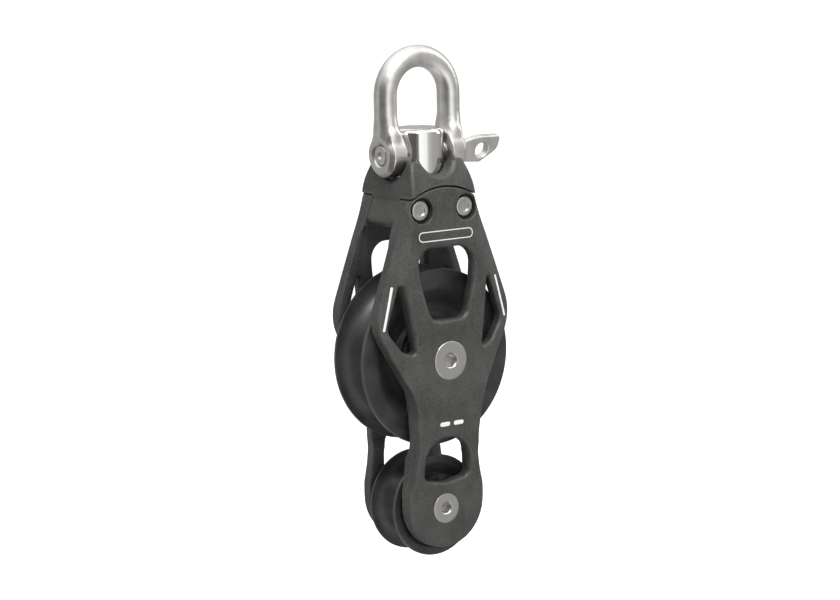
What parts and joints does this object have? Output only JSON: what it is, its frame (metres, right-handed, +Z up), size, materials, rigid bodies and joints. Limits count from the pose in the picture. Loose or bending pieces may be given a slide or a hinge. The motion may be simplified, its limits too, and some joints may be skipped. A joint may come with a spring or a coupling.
{
  "type": "double sheave block",
  "caption": "Pulley block with a large sheave over a small in-line tail sheave between windowed side plates, hung from a swinging screw-pin shackle.",
  "frame": {"origin": "inside of the shackle's crown, where the block hangs", "axes": "+Z up along the block, +X across it towards the pin's handle, +Y along the sheave axles towards the far side plate"},
  "size_m": [0.0474, 0.0256, 0.1298],
  "materials": {
    "stainless_forged": "forged and tumbled stainless steel, satin",
    "stainless_polished": "turned and polished stainless steel",
    "stainless_screw": "machined stainless steel",
    "anodised_grey": "matte hard-anodised forged aluminium, dark grey",
    "anodised_black": "satin hard-anodised turned aluminium, black",
    "acetal": "plain moulded black acetal",
    "race_black": "blackened steel, ground on the track",
    "cage_black": "plain moulded plastic"
  },
  "bodies": {
    "shackle": {"shackle_bow": "stainless_forged"},
    "pin": {"shackle_pin": "stainless_forged"},
    "post": {"shackle_post": "stainless_polished", "post_nut": "stainless_screw", "post_washer": "stainless_screw"},
    "block": {"head": "anodised_grey", "post_bush": "acetal", "near_sideplate": "anodised_grey", "far_sideplate": "anodised_grey", "head_screws": "stainless_screw", "head_barrels": "stainless_screw", "main_axle_screws": "stainless_screw", "tail_axle_screws": "stainless_screw", "main_hub": "stainless_screw", "tail_hub": "stainless_screw", "near_main_race": "race_black", "far_main_race": "race_black", "near_tail_race": "race_black", "far_tail_race": "race_black"},
    "main_sheave": {"main_sheave": "anodised_black", "main_bush": "acetal"},
    "main_rollers": {"near_main_balls": "acetal", "far_main_balls": "acetal", "near_main_cage": "cage_black", "far_main_cage": "cage_black"},
    "tail_sheave": {"tail_sheave": "anodised_black", "tail_bush": "acetal"},
    "tail_rollers": {"near_tail_balls": "acetal", "far_tail_balls": "acetal", "near_tail_cage": "cage_black", "far_tail_cage": "cage_black"}
  },
  "joints": [
    {"name": "pin_draw", "type": "slide", "parent": "shackle", "child": "pin", "axis": [1, 0, 0], "range_m": [0, 0.024]},
    {"name": "shackle_swing", "type": "hinge", "parent": "shackle", "child": "post", "pos_m": [0, 0, -0.0214], "axis": [1, 0, 0], "range_deg": [-55, 55]},
    {"name": "head_turn", "type": "hinge", "parent": "post", "child": "block", "pos_m": [0, 0, -0.0214], "axis": [0, 0, 1], "range_deg": [-1.5, 1.5]},
    {"name": "main_spin", "type": "hinge", "parent": "block", "child": "main_sheave", "pos_m": [0, 0, -0.0728], "axis": [0, 1, 0], "continuous": true},
    {"name": "main_roll", "type": "hinge", "parent": "block", "child": "main_rollers", "pos_m": [0, 0, -0.0728], "axis": [0, 1, 0], "continuous": true},
    {"name": "tail_spin", "type": "hinge", "parent": "block", "child": "tail_sheave", "pos_m": [0, 0, -0.1112], "axis": [0, 1, 0], "continuous": true},
    {"name": "tail_roll", "type": "hinge", "parent": "block", "child": "tail_rollers", "pos_m": [0, 0, -0.1112], "axis": [0, 1, 0], "continuous": true}
  ],
  "couplings": [
    {"joint": "main_roll", "follows": "main_spin", "ratio": 0.5},
    {"joint": "tail_roll", "follows": "tail_spin", "ratio": 0.5}
  ]
}
